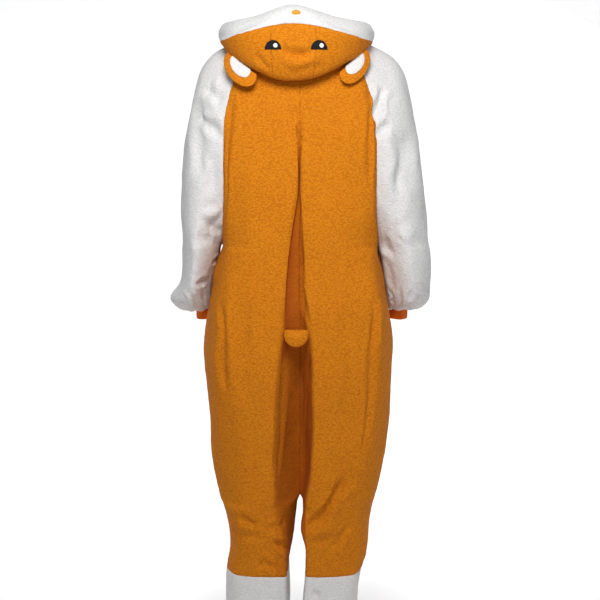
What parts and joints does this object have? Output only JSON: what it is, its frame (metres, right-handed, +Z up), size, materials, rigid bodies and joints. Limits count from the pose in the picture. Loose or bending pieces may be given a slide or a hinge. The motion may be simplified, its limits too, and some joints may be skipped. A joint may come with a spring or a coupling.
{
  "type": "hooded onesie",
  "caption": "Hollow fleece animal onesie as worn, orange and white, with bat sleeves, rib cuffs, a stub tail and an eared hood folded down at the back.",
  "frame": {"origin": "inside the neck opening, level with the tops of the shoulders that carry the garment", "axes": "+Z up, +Y the way the wearer faces, +X to the wearer's right"},
  "size_m": [0.571, 0.3409, 1.3999],
  "materials": {
    "orange_fleece": "pebbled polar fleece",
    "white_fleece": "pebbled polar fleece",
    "orange_rib": "rib knit",
    "black_felt": "felt",
    "button_resin": "satin"
  },
  "bodies": {
    "root": {"back_left": "orange_fleece", "back_right": "orange_fleece", "button_1": "button_resin", "button_2": "button_resin", "button_3": "button_resin", "button_4": "button_resin", "button_5": "button_resin", "cuff_left": "orange_rib", "cuff_right": "orange_rib", "ear_inner_left": "white_fleece", "ear_inner_right": "white_fleece", "ear_left": "orange_fleece", "ear_right": "orange_fleece", "eye_glint_left": "white_fleece", "eye_glint_right": "white_fleece", "eye_left": "black_felt", "eye_right": "black_felt", "front_left": "white_fleece", "front_right": "white_fleece", "hood_band": "white_fleece", "hood_centre": "orange_fleece", "hood_side_left": "orange_fleece", "hood_side_right": "orange_fleece", "lower_leg_left": "white_fleece", "lower_leg_right": "white_fleece", "nose": "orange_rib", "placket": "white_fleece", "side_front_left": "orange_fleece", "side_front_right": "orange_fleece", "sleeve_left": "white_fleece", "sleeve_right": "white_fleece", "tail": "orange_fleece"}
  },
  "joints": []
}
